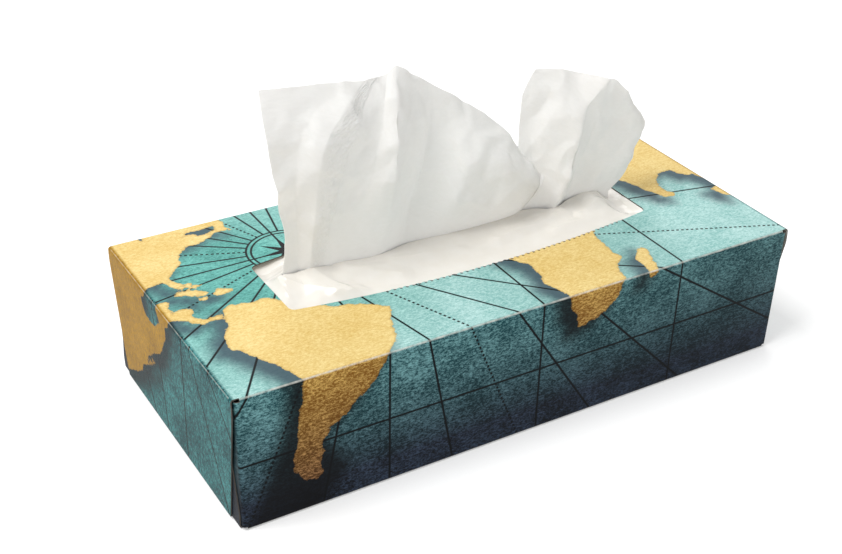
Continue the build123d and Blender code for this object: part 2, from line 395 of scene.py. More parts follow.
rows = stations(BENDS, girth[0][-1], [FINE, FINE, FINE, COARSE, COARSE])
flap_reach = max(line[0][-1] for line in flap_lines.values())
flap_columns = np.concatenate([line[0][1:7] for line in flap_lines.values()])
flap_columns = np.concatenate([flap_columns, np.arange(6, flap_reach, FINE)])
flap_columns = SLEEVE_END + np.unique(np.round(flap_columns, 3))
sleeve_columns = np.linspace(-SLEEVE_END, SLEEVE_END, round(2 * SLEEVE_END / FINE))
columns = np.concatenate([-flap_columns[::-1], sleeve_columns, flap_columns])
grid = np.array([(u, s) for u in columns for s in rows])
loops = [split_at(blank_outline, rows, columns), opening]
flat, triangles = triangulate(loops, grid, 0.5)
print("flat blank", len(flat), "points,", len(triangles), "triangles")

# %% [markdown]
# ## Folding it
# Each flat point has a place along the length and a place round the girth. On the sleeve the girth line
# says where it goes; past the sleeve's end the flap that it belongs to bends it round the end. Folding by
# such a rule keeps each piece of board the size it was cut, which bending the mesh with modifiers wouldn't
# promise.


# %% From the flat blank to the carton
def fold(flat):
    """Middle places and outward sides, in millimetres, of flat points of the blank."""
    u, s = flat[:, 0], flat[:, 1]
    yz, side = on_line(girth, s)
    places = np.column_stack([u, yz])
    outward = np.column_stack([np.zeros(len(u)), side])
    past = np.abs(u) - SLEEVE_END
    hand = np.sign(u)
    flaps = {"back": (s < BENDS[0][0], 1), "outer": ((s >= BENDS[0][0]) & (s <= BENDS[1][1]), 2),
             "front": ((s > BENDS[1][1]) & (s < BENDS[2][0]), 1), "inner": (s >= BENDS[2][0], 2)}
    for name, (belongs, way) in flaps.items():
        chosen = (past > 1e-6) & belongs
        line, turned = on_line(flap_lines[name], past[chosen])
        places[chosen, 0] = hand[chosen] * line[:, 0]
        places[chosen, way] = line[:, 1]
        outward[chosen] = 0
        outward[chosen, 0] = hand[chosen] * turned[:, 0]
        outward[chosen, way] = turned[:, 1]
        if way == 2:
            places[chosen, 1] = TOP_MIDDLE - s[chosen] if name == "outer" else s[chosen] - UNDER_MIDDLE
    return places, outward


middle, outward = fold(flat)
board_points, board_faces, board_kinds = thin_sheet(middle, outward, triangles, BOARD)
print("carton spans", board_points.min(0).round(2), board_points.max(0).round(2))

# %% [markdown]
# ## Lands and seas for the print
# The board is printed with a chart in the manner of old sea charts: gold lands on a teal sea, with rhumb
# lines. A picture could be wrapped round the box, but here the coasts are a few plain points each, and
# every point of the blank keeps its distance to the nearest coast. The material then turns that distance
# into a ragged coast, a shore line and a soft shadow, at any scale.

# %% Coasts, in millimetres on the flat blank from the middle of the top panel
LANDS = [
    [(-97, -8), (-95.5, -5), (-92, -3), (-90, -5), (-88, -4), (-84, -6), (-82, -5), (-78.5, -5.5),
     (-76, -9), (-70, -15), (-62, -21), (-53, -24), (-45, -30), (-49, -38), (-53, -49), (-59, -54),
     (-63, -61), (-68.5, -67), (-72, -69), (-76, -74), (-82, -76.5), (-81, -78), (-85, -81.5),
     (-83.5, -85), (-85.5, -90), (-84, -93.5), (-86, -96), (-91, -94.5), (-95, -89), (-94.5, -84),
     (-92.5, -75.5), (-93, -70.5), (-91, -63), (-90.5, -54), (-93, -47), (-99, -34.5), (-101, -30.5),
     (-103.5, -28.5), (-102.5, -21), (-98.5, -15)],
    [(6, -12), (8, -22), (12.5, -30), (12, -37), (10, -43.5), (12.5, -52.5), (14, -60), (16.5, -63),
     (17.5, -68), (19.5, -68.5), (27, -66.5), (35, -60), (35.5, -55.5), (38, -54.5), (38, -50), (42, -44),
     (45.5, -41.5), (45, -33), (46.5, -24), (49, -20), (46, -12)],
    [(56, -37), (57, -42), (52.5, -54), (50.5, -56.5), (47.5, -57), (48.5, -52.5), (49.5, -45),
     (50, -42.5), (53, -41)],
    [(-74, 62), (-71, 52), (-72.5, 48.5), (-70, 45), (-77, 46), (-80, 43), (-85.5, 41), (-90.5, 41),
     (-91.5, 39), (-95, 36), (-97, 29.5), (-101, 26.5), (-104, 23), (-103.5, 20), (-101.5, 15.5),
     (-103.5, 13), (-105.5, 16), (-107, 21), (-110, 21), (-116, 18.5), (-118, 22), (-123.5, 20),
     (-124, 13.5), (-122.5, 8.5), (-119.5, 5.5), (-115, 8), (-112, 9), (-110, 8.5), (-111.5, 4.5),
     (-112, 0.5), (-108.5, 2), (-105, 0.5), (-105, -2.5), (-106.5, -4), (-104, -7.5), (-100, -7.5),
     (-97, -7), (-98, -10.5), (-101, -9.5), (-104, -10.5), (-108, -8.5), (-109.5, -5.5), (-112.5, -4),
     (-116, -3.5), (-118.5, 0), (-124, 1), (-134, 8), (-137, 14.5), (-142.5, 21), (-145, 22.5),
     (-139.5, 13.5), (-142.5, 15), (-150, 28), (-153.5, 30), (-158, 36), (-164.5, 50.5), (-168, 58),
     (-160, 76), (-120, 92), (-92, 84)],
    [(-108.5, 10), (-106, 12), (-102, 12.5), (-98, 10), (-95, 8), (-96.5, 6.5), (-99.5, 7), (-104, 9.5)],
    [(-101, 17.5), (-98.5, 17), (-98.5, 15), (-96, 13), (-98, 12), (-101, 14)],
    [(-95, 7.5), (-91.5, 8.5), (-87, 6.5), (-88, 4.5), (-91, 4), (-94.5, 4)],
    [(-100, 6), (-97, 5.5), (-97.5, 3), (-100.5, 4)],
    [(60, 64), (70, 42), (77, 18), (83.5, 7), (86.5, -3), (89.5, -11), (94, -13), (95, -10), (93, -8),
     (94.5, 0), (100, 6), (106.5, 6.5), (109, 0), (112.5, -1), (115, -7), (115, -13), (110, -14.5),
     (111.5, -20), (114.5, -24), (117, -19), (120, -10), (131, -4), (144, 8), (155, 27), (168, 40),
     (168, 60), (118, 90), (84, 96), (66, 78)],
    [(-41, 72), (-35, 67), (-27, 69), (-24, 65), (-16, 68), (-9, 73), (-11, 78), (-5, 83), (-12, 86),
     (-17, 92), (-25, 89), (-31, 90), (-37, 84), (-35, 79)],
]
INLETS = [
    [(-89, 48), (-86, 50.5), (-81.5, 49.5), (-75.5, 51), (-76, 48), (-80, 46), (-84, 46), (-84, 48),
     (-86.5, 49)],
    [(-106, 58), (-102, 55.5), (-103, 52.5), (-104.5, 55)],
]
SHADES = LANDS + [[(-90, -56), (-92, -70), (-99, -88), (-107, -106), (-82, -106), (-70, -90), (-84, -70)]]
SHADOW_SHIFT = (5.0, 3.0)  # the printed shadow falls to the left of each land and towards the front


def shore_distance(points, outline):
    """Distance from flat points to a closed coast, positive on land."""
    a = np.array(outline, float)
    along = np.roll(a, -1, axis=0) - a
    away = points[:, None] - a
    share = np.clip((away * along).sum(2) / (along ** 2).sum(1), 0, 1)
    gap = np.sqrt(((away - share[..., None] * along) ** 2).sum(2)).min(1)
    return np.where(within(points, outline), gap, -gap)


OFF_FOLD, FAR_AWAY = 9.0, 99.0  # stand for places that a fold, or a torn edge or a line, doesn't reach
END_RUB_AND_HIGHLIGHT_LESS = 0.15  # the end folds get a thinner line of rubbing and painted highlight
chart = np.column_stack([flat[:, 0], TOP_MIDDLE - flat[:, 1]])
coast = np.max([shore_distance(chart, land) for land in LANDS], axis=0)
coast = np.min([coast] + [-shore_distance(chart, inlet) for inlet in INLETS], axis=0)
shadow = np.max([shore_distance(chart + SHADOW_SHIFT, shade) for shade in SHADES], axis=0)
bend_middles = np.array([(a + b) / 2 for a, b in BENDS])
crease = np.abs(flat[:, 1:2] - bend_middles).min(1)
end_bend = SLEEVE_END + flap_lines["outer"][0][1:7].mean()
end_crease = np.abs(np.abs(flat[:, 0]) - end_bend) + END_RUB_AND_HIGHLIGHT_LESS
end_crease = np.where(np.abs(chart[:, 1]) < WIDTH / 2 - 1, end_crease, OFF_FOLD)
crease = np.where(np.abs(flat[:, 0]) > SLEEVE_END, end_crease, crease)
torn = -shore_distance(flat, opening)
torn = np.where((flat[:, 0] > TEETH_FROM) & (flat[:, 0] < TEETH_TO), np.abs(torn), FAR_AWAY)
print("land share of the blank", round(float((coast > 0).mean()), 2))

# %% [markdown]
# ## Printed board: coasts
# Folding boxboard is bleached pulp board with a clay coat, printed in four colours and varnished satin. To
# the eye that gives solid colours with a fine mottle, a soft broad gloss, and pale lines along the folds,
# partly board rubbed through and partly a painted highlight. Its material is built up in steps, as a
# press lays down its inks. First come the coasts. Straight strokes between the points would look cut with
# scissors, so noise moves the shore and the shadow's edge.

# %% Offset-printed coated board, satin varnish: coasts and shadows
RAGGED_SIZE, RAGGED_BY = 4.0, 1.0
printed_board = empty_material("offset_printed_coated_board_satin_varnish")
tree = printed_board.node_tree
place = add(tree, "Attribute", attribute_name="chart").outputs["Vector"]
across, around, _ = add(tree, "SeparateXYZ", {"Vector": place}).outputs
coast_mm, shadow_mm, crease_mm, torn_mm = [
    add(tree, "Attribute", attribute_name=name).outputs["Fac"]
    for name in ("coast", "shadow", "crease", "torn")]
ragged = add(tree, "TexNoise", {"Vector": place, "Scale": 1 / RAGGED_SIZE, "Detail": 5, "Roughness": 0.7})
ragged = add(tree, "MapRange", {"Value": ragged, "From Min": 0.25, "From Max": 0.75, "To Min": -RAGGED_BY,
                                "To Max": RAGGED_BY})
shore = add(tree, "Math", {0: coast_mm, 1: ragged}, operation="ADD")
land = add(tree, "MapRange", {"Value": shore, "From Min": -0.15, "From Max": 0.15},
           interpolation_type="SMOOTHSTEP")
shore_line = add(tree, "MapRange", {"Value": shore, "From Min": 0.9, "From Max": 0.1, "To Max": 0.4})
cast = add(tree, "Math", {0: shadow_mm, 1: ragged}, operation="ADD")
cast = add(tree, "MapRange", {"Value": cast, "From Min": -6.0, "From Max": 3.0, "To Max": 0.9},
           interpolation_type="SMOOTHSTEP")
print("shores moved by up to", RAGGED_BY, "mm")

# %% [markdown]
# ## Printed board: grain
# The inks are stippled like old paper. One noise would look like sand, so three are mixed: fibres of 0.7 mm
# and blots of 1.8 mm, both drawn out along the carton, and clouds of 20 mm. Real paper fibres are finer
# than the picture shows, so the grain is drawn this coarse.

# %% Fibres, blots and clouds
FIBRES, BLOTS, CLOUDS = 0.7, 1.8, 20.0
DRAWN_OUT = (0.55, 1.0, 1.0)
combed = add(tree, "VectorMath", {0: place, 1: DRAWN_OUT}, operation="MULTIPLY")
fibres = add(tree, "TexNoise", {"Vector": combed, "Scale": 1 / FIBRES, "Detail": 4, "Roughness": 0.85})
grain = add(tree, "MapRange", {"Value": fibres, "From Min": 0.4, "From Max": 0.6})
blots = add(tree, "TexNoise", {"Vector": combed, "Scale": 1 / BLOTS, "Detail": 5, "Roughness": 0.75})
blots = add(tree, "MapRange", {"Value": blots, "From Min": 0.38, "From Max": 0.62})
clouds = add(tree, "TexNoise", {"Vector": place, "Scale": 1 / CLOUDS, "Detail": 4, "Roughness": 0.6})
clouds = add(tree, "MapRange", {"Value": clouds, "From Min": 0.35, "From Max": 0.65})
mottle = add(tree, "Mix", {"Factor": 0.35, "A": grain, "B": blots})
mottle = add(tree, "Mix", {"Factor": 0.24, "A": mottle, "B": clouds})
flecks = add(tree, "MapRange", {"Value": mottle, "From Min": 0.34, "From Max": 0.92})
specks = add(tree, "MapRange", {"Value": fibres, "From Min": 0.36, "From Max": 0.28, "To Max": 0.35})
print("grain of", FIBRES, "and", BLOTS, "mm, clouds of", CLOUDS, "mm")

# %% [markdown]
# ## Printed board: the rose
# Old sea charts are ruled with lines that run out from a rose. They could be curves laid on the board, but
# those would stand off it, so the shader works out how far each place is from the nearest line and inks it
# there. The rose has a ray every 11.25 degrees, every fourth one dashed, two rings and a star of eight
# points. The left end has other lines, so the rose stops at its fold.

# %% Rays, rings and star
ROSE = (-59.0, 21.0, 0.0)
RAYS_A_HALF_TURN = 16
RAYS_FROM, RINGS, RINGS_APART, STAR = 15.1, 14.2, 1.8, 11.4
DASH_PITCH, DASH = 1.9, 1.05
STROKE = {"From Min": 0.55, "From Max": 0.26}  # mm off a line where its ink starts and is full
LEFT_END = -114.0
is_left_end = add(tree, "Math", {0: across, 1: LEFT_END}, operation="LESS_THAN")
from_rose = add(tree, "VectorMath", {0: place, 1: ROSE}, operation="SUBTRACT")
reach = add(tree, "VectorMath", {0: from_rose}, operation="LENGTH").outputs["Value"]
rose_x, rose_y, _ = add(tree, "SeparateXYZ", {"Vector": from_rose}).outputs
rose_x = add(tree, "Math", {0: rose_x}, operation="ABSOLUTE")
bearing = add(tree, "Math", {0: rose_y, 1: rose_x}, operation="ARCTAN2")
ray_count = add(tree, "Math", {0: bearing, 1: RAYS_A_HALF_TURN / math.pi}, operation="MULTIPLY")
nearest = add(tree, "Math", {0: ray_count}, operation="ROUND")
off_ray = add(tree, "Math", {0: ray_count, 1: nearest}, operation="SUBTRACT")
off_ray = add(tree, "Math", {0: off_ray}, operation="ABSOLUTE")
off_ray = add(tree, "Math", {0: off_ray, 1: reach}, operation="MULTIPLY")
off_ray = add(tree, "Math", {0: off_ray, 1: math.pi / RAYS_A_HALF_TURN}, operation="MULTIPLY")
fourth = add(tree, "Math", {0: nearest, 1: 34.0}, operation="ADD")
fourth = add(tree, "Math", {0: fourth, 1: 4.0}, operation="MODULO")
dashed = add(tree, "Math", {0: fourth, 1: 0.5}, operation="LESS_THAN")
gap = add(tree, "Math", {0: reach, 1: DASH_PITCH}, operation="MODULO")
gap = add(tree, "Math", {0: gap, 1: DASH}, operation="GREATER_THAN")
gap = add(tree, "Math", {0: gap, 1: dashed}, operation="MULTIPLY")
ray = add(tree, "MapRange", {"Value": off_ray, **STROKE})
ray = add(tree, "Math", {0: ray, 1: gap}, operation="SUBTRACT", use_clamp=True)
outside_rings = add(tree, "Math", {0: reach, 1: RAYS_FROM}, operation="GREATER_THAN")
ray = add(tree, "Math", {0: ray, 1: outside_rings}, operation="MULTIPLY")
off_ring = add(tree, "Math", {0: reach, 1: RINGS}, operation="SUBTRACT")
off_ring = add(tree, "Math", {0: off_ring}, operation="ABSOLUTE")
off_ring = add(tree, "Math", {0: off_ring, 1: RINGS_APART / 2}, operation="SUBTRACT")
off_ring = add(tree, "Math", {0: off_ring}, operation="ABSOLUTE")
star = add(tree, "Math", {0: ray_count, 1: 2.0}, operation="PINGPONG")
star = add(tree, "Math", {0: star, 1: 1.3, 2: 1.0}, operation="MULTIPLY_ADD")
star = add(tree, "Math", {0: star, 1: reach}, operation="MULTIPLY")
star = add(tree, "MapRange", {"Value": star, "From Min": STAR, "From Max": STAR - 0.4})
ray, star = [add(tree, "Math", {0: part, 1: is_left_end}, operation="SUBTRACT", use_clamp=True)
             for part in (ray, star)]
print("rose with", 2 * RAYS_A_HALF_TURN, "rays")

# %% [markdown]
# A net of meridians and parallels crosses in the rose, and the left end has five lines of its own, each
# given by two of its points. A line that doesn't belong to a panel is put far away there, so that the
# nearest line wins.

# %% Meridians, parallels and the left end's lines
MERIDIANS, PARALLELS = 61.0, 102.0
BASE_FOLD = -106.5
END_LINES = [((-154.5, 24), (-163, 20)), ((-139.5, 9.5), (-165, 7)), ((-119, -14), (-164, -11)),
             ((-120, -23.5), (-166, -46.5)), ((-120, -42), (-131, -53.5))]
off_line = off_ring
for way, start, pitch in ((across, ROSE[0], MERIDIANS), (around, ROSE[1], PARALLELS)):
    off_net = add(tree, "Math", {0: way, 1: start}, operation="SUBTRACT")
    off_net = add(tree, "Math", {0: off_net, 1: pitch / 2}, operation="PINGPONG")
    off_line = add(tree, "Math", {0: off_line, 1: off_net}, operation="MINIMUM")
off_line = add(tree, "Math", {0: is_left_end, 1: FAR_AWAY, 2: off_line}, operation="MULTIPLY_ADD")
is_elsewhere = add(tree, "Math", {0: 1.0, 1: is_left_end}, operation="SUBTRACT")
for start, end in END_LINES:
    way = (Vector(end) - Vector(start)).normalized()
    aside = Vector((way.y, -way.x, 0.0))
    off_end = add(tree, "VectorMath", {0: place, 1: aside}, operation="DOT_PRODUCT").outputs["Value"]
    off_end = add(tree, "Math", {0: off_end, 1: aside.xy.dot(start)}, operation="SUBTRACT")
    off_end = add(tree, "Math", {0: off_end}, operation="ABSOLUTE")
    off_end = add(tree, "Math", {0: is_elsewhere, 1: FAR_AWAY, 2: off_end}, operation="MULTIPLY_ADD")
    off_line = add(tree, "Math", {0: off_line, 1: off_end}, operation="MINIMUM")
line = add(tree, "MapRange", {"Value": off_line, **STROKE})
for part in (ray, star):
    line = add(tree, "Math", {0: line, 1: part}, operation="MAXIMUM")
above_base = add(tree, "Math", {0: around, 1: BASE_FOLD}, operation="GREATER_THAN")
line = add(tree, "Math", {0: line, 1: above_base}, operation="MULTIPLY")
print("lines", MERIDIANS, "and", PARALLELS, "mm apart,", len(END_LINES), "on the left end")

# %% [markdown]
# ## Printed board: inks
# Sea and land have bright tones on the top panel and darker ones on the sides, with navy and brown at the
# base; the sides' darker tones are partly print and partly painted shade. The top's sea is deepest by the
# rose and paler away from it, and towards the right that paleness is a painted sheen. It is dull round the
# cape, the front darkens to the right, and the tucked-in dust flaps get painted shade. One image could hold
# all that, but as shares between 0 and 1 each field stays a plain rule that is easy to change.

# %% Where each field of colour lies
DEEP, CAPE = (-85.0, 15.0, 0.0), 32.0
FLAP_SHADE = 0.65  # the dust flaps lie in the outer flap's shade, so that shade is painted on them
from_middle, from_centre = [add(tree, "Math", {0: way}, operation="ABSOLUTE") for way in (around, across)]
on_side = add(tree, "MapRange", {"Value": from_middle, "From Min": 54.1, "From Max": 54.8})
on_end = add(tree, "MapRange", {"Value": from_centre, "From Min": 113.2, "From Max": 114.2})
down = add(tree, "MapRange", {"Value": from_middle, "From Min": 54.0, "From Max": 98.0})
from_deep = add(tree, "VectorMath", {0: place, 1: DEEP}, operation="DISTANCE").outputs["Value"]
# Paler away from the rose; towards the right this paleness is a painted sheen.
shallows_and_sheen = add(tree, "MapRange", {"Value": from_deep, "From Min": 22.0, "From Max": 85.0})
from_cape = add(tree, "Math", {0: across, 1: CAPE}, operation="SUBTRACT")
from_cape = add(tree, "Math", {0: from_cape}, operation="ABSOLUTE")
dull = add(tree, "MapRange", {"Value": from_cape, "From Min": 50.0, "From Max": 20.0, "To Max": 0.6})
dusk = add(tree, "MapRange", {"Value": across, "From Min": -40, "From Max": 110, "To Max": 0.35})
# Painted shade on the dust flaps, which lie in the outer flaps' shade.
painted_flap_shade = add(tree, "Math", {0: on_side, 1: on_end}, operation="MULTIPLY")
painted_flap_shade = add(tree, "Math", {0: painted_flap_shade, 1: FLAP_SHADE}, operation="MULTIPLY")
print("deepest sea at", DEEP[:2], "mm, dull water", CAPE, "mm right of the middle")


# %% Inks
def overprint(ink, layers):
    """Prints further inks over one, in order, each as strongly as its share says."""
    for share, over in layers:
        ink = add(tree, "Mix", {"Factor": share, "A": ink, "B": over}, data_type="RGBA")
    return ink


def mottled(dark, light):
    """An ink that varies evenly between two tones."""
    return overprint(dark, [(mottle, light)])


def flecked(dark, light):
    """A dark ink with light flecks."""
    return overprint(dark, [(flecks, light)])


def by_panel(top, end, side):
    """One ink each for the top, the ends and the long sides, whose darker inks are print and painted shade.
    """
    return overprint(top, [(on_end, end), (on_side, side)])


# The ends' and sides' inks are darker than the top's, partly as print and partly as painted shade.
top_sea = overprint(mottled("#1a665f", "#7fcdc3"), [(shallows_and_sheen, mottled("#65a8a2", "#cdebe8")),
                                                    (dull, mottled("#47857f", "#9fcfca"))])
side_sea = overprint(flecked("#174a51", "#94d0d2"), [(down, flecked("#090b12", "#45546a")),
                                                     (dusk, "#0b1a20")])
sea = by_panel(top_sea, flecked("#0a363b", "#559f9e"), side_sea)
shadow_ink = by_panel("#3a4a57", "#10171c", "#06070b")
# Over the sea go the printed shadow, the painted shade on the dust flaps, and the lines.
sea = overprint(sea, [(cast, shadow_ink), (painted_flap_shade, "#0b0d11"), (line, "#05080b")])
# Gold and shore inks are darker on the ends and sides in the same way: part print, part painted shade.
side_gold = overprint(flecked("#8f5f1c", "#ffd578"), [(down, flecked("#3d2512", "#c48d60"))])
gold = by_panel(mottled("#cfa64c", "#f3dfa0"), mottled("#6a4907", "#c4962c"), side_gold)
shore_ink = overprint("#9c7638", [(on_side, "#3a2412")])
gold = overprint(gold, [(specks, "#6e4c1c"), (shore_line, shore_ink)])
ink = overprint(sea, [(land, gold)])
print("inks", len(tree.nodes), "nodes")

# %% [markdown]
# ## Printed board: painted shade, wear, painted highlight and varnish
# At each tooth along the torn edge the shade between the torn fibres is painted as a dark dot, and the folds
# have thin pale strokes, partly board rubbed through and partly a painted highlight. Satin varnish has a
# broad, weak gloss. A full gloss would whiten the dark sides at a low angle, so the specular level is low.

# %% Painted shade at the teeth, rubbed and highlighted folds, and varnish
TOOTH_SHADE_DEPTH, TOOTH_SHADE_HALF = 0.75, 0.4
RUB_AND_HIGHLIGHT_STROKE = 6.0
# A dark dot at each tooth of the torn edge is painted shade between the torn fibres.
at_edge = add(tree, "Math", {0: torn_mm, 1: TOOTH_SHADE_DEPTH}, operation="LESS_THAN")
tooth_shade = add(tree, "Math", {0: across, 1: TOOTH_PITCH / 2}, operation="PINGPONG")
tooth_shade = add(tree, "Math", {0: tooth_shade, 1: TOOTH_SHADE_HALF}, operation="LESS_THAN")
tooth_shade = add(tree, "Math", {0: tooth_shade, 1: at_edge}, operation="MULTIPLY")
tooth_shade = add(tree, "Math", {0: tooth_shade, 1: 0.8}, operation="MULTIPLY")
# Thin pale strokes at the folds: partly board rubbed through, partly a painted highlight on the fold.
rub_and_highlight = add(tree, "TexNoise", {"Vector": place, "Scale": 1 / RUB_AND_HIGHLIGHT_STROKE, "Detail": 6, "Roughness": 0.75})
rub_and_highlight = add(tree, "MapRange", {"Value": rub_and_highlight, "From Min": 0.3, "From Max": 0.62, "To Max": 0.75})
at_fold = add(tree, "MapRange", {"Value": crease_mm, "From Min": 0.38, "From Max": 0.12})
rub_and_highlight = add(tree, "Math", {0: rub_and_highlight, 1: at_fold}, operation="MULTIPLY")
# Over the inks go the painted shade at the teeth and the rubbed, highlighted folds.
ink = overprint(ink, [(tooth_shade, "#2a2420"), (rub_and_highlight, "#e6e6dc")])
varnish = add(tree, "MapRange", {"Value": grain, "To Min": 0.4, "To Max": 0.55})
emboss = add(tree, "Bump", {"Strength": 0.25, "Distance": 0.00006, "Height": grain})
surface = add(tree, "BsdfPrincipled", {"Base Color": ink, "Roughness": varnish, "IOR": 1.5,
                                       "Specular IOR Level": 0.08, "Normal": emboss})
add(tree, "OutputMaterial", {"Surface": surface})
print("printed board", len(tree.nodes), "nodes")

# %% [markdown]
# ## Bare board
# Inside the carton the board is bare: pale grey-white pulp, matt and slightly fibrous. A plain white would
# look like plastic there, so short fibres of about 3 mm vary it. The cut edges are painted dark grey: the
# shade that lies in the gaps along the opening and the flaps is painted onto them as a dark line.

# %% Bleached pulp board, uncoated, and its cut edge with painted shade
FIBRE = 3.0 * MM


def bare_board(name, dark, light, roughness):
    """Unprinted board whose fibres vary between two tones."""
    material = empty_material(name)
    tree = material.node_tree
    place = add(tree, "TexCoord").outputs["Object"]
    fibres = add(tree, "TexNoise", {"Vector": place, "Scale": 1 / FIBRE, "Detail": 5, "Roughness": 0.7})
    pulp = add(tree, "Mix", {"Factor": fibres, "A": dark, "B": light}, data_type="RGBA")
    surface = add(tree, "BsdfPrincipled", {"Base Color": pulp, "Roughness": roughness, "IOR": 1.45})
    add(tree, "OutputMaterial", {"Surface": surface})
    return material


raw_board = bare_board("bleached_pulp_board_uncoated", "#a39d91", "#d3cec3", 0.9)
# The cut edge is painted dark grey as the shade in the gaps along the opening and the flaps.
cut_edge_painted_shade = bare_board("die_cut_board_edge_painted_shade", "#48433d", "#6b665f", 0.95)
print("bare boards", raw_board.name, "and", cut_edge_painted_shade.name)

# %% The printed carton
carton = new_piece("printed_carton", board_points, board_faces, [printed_board, raw_board, cut_edge_painted_shade],
                   board_kinds)
store(carton, "chart", "FLOAT_VECTOR", np.tile(np.column_stack([chart, np.zeros(len(chart))]), (2, 1)))
for name, values in (("coast", coast), ("shadow", shadow), ("crease", crease), ("torn", torn)):
    store(carton, name, "FLOAT", np.tile(values, 2))
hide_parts("carton")

# %% [markdown]
# ## The standing tissue
# One two-ply tissue stands in the slit: its lower end is still folded into the stack, the lips gather it,
# and above them it fans out into pleats. Cloth simulation would settle into folds of its own, so the pleats
# are set one by one, each by its crest and its place at five heights, and a smooth net runs through them.

# %% Pleats, from the sheet's left edge to its right edge
CREST, WAIST = 71.0, 2.0
LEVELS = (0.26, 0.54, 0.8, 1.0)
PLEATS = [  # share of CREST, then places along and across the slit at the waist and at each level
    (1.00, (-71, 0), (-70, -1), (-73, -2), (-75, 0), (-74, 5)),
    (0.97, (-65, 0.5), (-64.5, 0), (-65.5, -2), (-63, -2), (-54, 5)),
    (0.96, (-61, -1), (-60.5, -4), (-59, -6), (-55, -7), (-36, 3)),
    (0.95, (-55, -0.5), (-51, -2.4), (-45, -3), (-39, -2.6), (-30, 4.5)),
    (0.96, (-45, -1), (-42, -3.2), (-37, -3.6), (-32, -1.5), (-27, 4.5)),
    (0.99, (-34, -1.5), (-31, -5), (-30, -8), (-28, -5), (-24, 4)),
    (0.86, (-22.5, 1), (-18, 3), (-12, 5), (-8, 6), (-10, 6)),
    (0.71, (-7, 0), (-5, -4), (0, -5), (4, 0), (5, 7)),
    (0.56, (9.5, 0), (11, -4), (13, -6), (16, -4), (20, 5)),
    (0.39, (18, 0.5), (20.5, -4), (23, -6), (26, -5), (28.5, 1)),
    (0.25, (25, 1), (28, -2.5), (31, -4.5), (34, -5.5), (36, -4)),
    (0.28, (25.5, 2.5), (27, 1.5), (29.5, 0.5), (32.5, 0), (34, 1.5)),
    (0.385, (27.5, 3), (30, 3.2), (32, 3.5), (31.5, 4.5), (29.8, 6)),
    (0.66, (30.5, 3), (34, 2.5), (34.5, 4), (33.5, 6.5), (32, 9)),
    (0.79, (33.5, 2), (37, 1), (39, 0.5), (40.5, 4), (37, 8)),
    (0.775, (36.5, 1), (40, -1), (42.5, -1.5), (44.5, 1), (46.5, 6)),
    (0.755, (39.5, -0.5), (43, -3.5), (46, -4), (49, -2.3), (54.5, 2.5)),
    (0.735, (42, -2.5), (45.6, -6), (49, -6), (53.3, -4.5), (62, -4.7)),
    (0.68, (49, 1), (53, 0.5), (56.5, -0.5), (62, -0.5), (69, -1.5)),
    (0.59, (57, -0.5), (63, -2.5), (69, -2), (74, -1.5), (75, 0)),
    (0.46, (65, 0.5), (71, -2), (77, -3), (82, -2), (82.5, 1)),
    (0.365, (70, 0), (79, 2), (84, 4), (87.5, 5), (88, 5)),
]
TISSUE = 0.25
STACK_HEADROOM = 10.0
STACK_TOP = BOARD + HEIGHT - STACK_HEADROOM
FOOT_Z, FOOT_DEPTH, FOOT_BEND = STACK_TOP + 0.3 + TISSUE / 2, 44.0, 2.5
STEPS_UP, STEPS_ALONG, PLEAT_CRISP = 20, 14, 0.65


def smooth(knots, steps, crisp=0.0):
    """Points through the first axis of knots on a natural cubic spline; crisp draws them straighter."""
    knots = np.asarray(knots, float)
    count = len(knots)
    system, pull = np.eye(count), np.zeros_like(knots)
    for i in range(1, count - 1):
        system[i, i - 1:i + 2] = 1, 4, 1
        pull[i] = 6 * (knots[i - 1] - 2 * knots[i] + knots[i + 1])
    bends = np.linalg.solve(system, pull.reshape(count, -1)).reshape(knots.shape)
    points = []
    for i in range(count - 1):
        for step in range(steps):
            b = step / steps
            a = 1 - b
            points.append(a * knots[i] + b * knots[i + 1]
                          + (1 - crisp) * ((a ** 3 - a) * bends[i] + (b ** 3 - b) * bends[i + 1]) / 6)
    return np.array(points + [knots[-1]])


lines = []
for share, (x, y), *upper in PLEATS:
    rise = share * CREST - WAIST
    pleat = [(x, y, HEIGHT + WAIST)]
    pleat += [(a, b, HEIGHT + WAIST + up * rise) for up, (a, b) in zip(LEVELS, upper)]
    foot = [(x, depth_back, FOOT_Z) for depth_back in np.linspace(FOOT_DEPTH, y + FOOT_BEND, 12)]
    foot += [(x, y + FOOT_BEND * (1 - math.sin(t)), FOOT_Z + FOOT_BEND * (1 - math.cos(t)))
             for t in (0.5, 1.0, 1.5)]
    foot += [(x, y, z) for z in np.linspace(FOOT_Z + FOOT_BEND + 1, HEIGHT + WAIST - 1, 4)]
    lines.append(foot + list(smooth(pleat, STEPS_UP)))
net = smooth(lines, STEPS_ALONG, PLEAT_CRISP)
foot_rows = net.shape[1] - (len(LEVELS) * STEPS_UP + 1)
print("tissue net", net.shape, "of which foot rows", foot_rows)

# %% [markdown]
# The net is still too even. Tissue crumples in soft ridges a centimetre or two apart, and its ply shows
# shallow dents between them, so noise moves the net a little along its own outward side, less near the lips
# that hold it.

# %% Creases and dents in the tissue
RIDGE_PUSH, CREASE_PUSH, DENT_PUSH = 2.2, 0.6, 0.12


def net_sides(net):
    """Unit outward sides of a net of points."""
    side = np.cross(np.gradient(net, axis=0), np.gradient(net, axis=1))
    return side / np.maximum(np.linalg.norm(side, axis=2, keepdims=True), 1e-9)


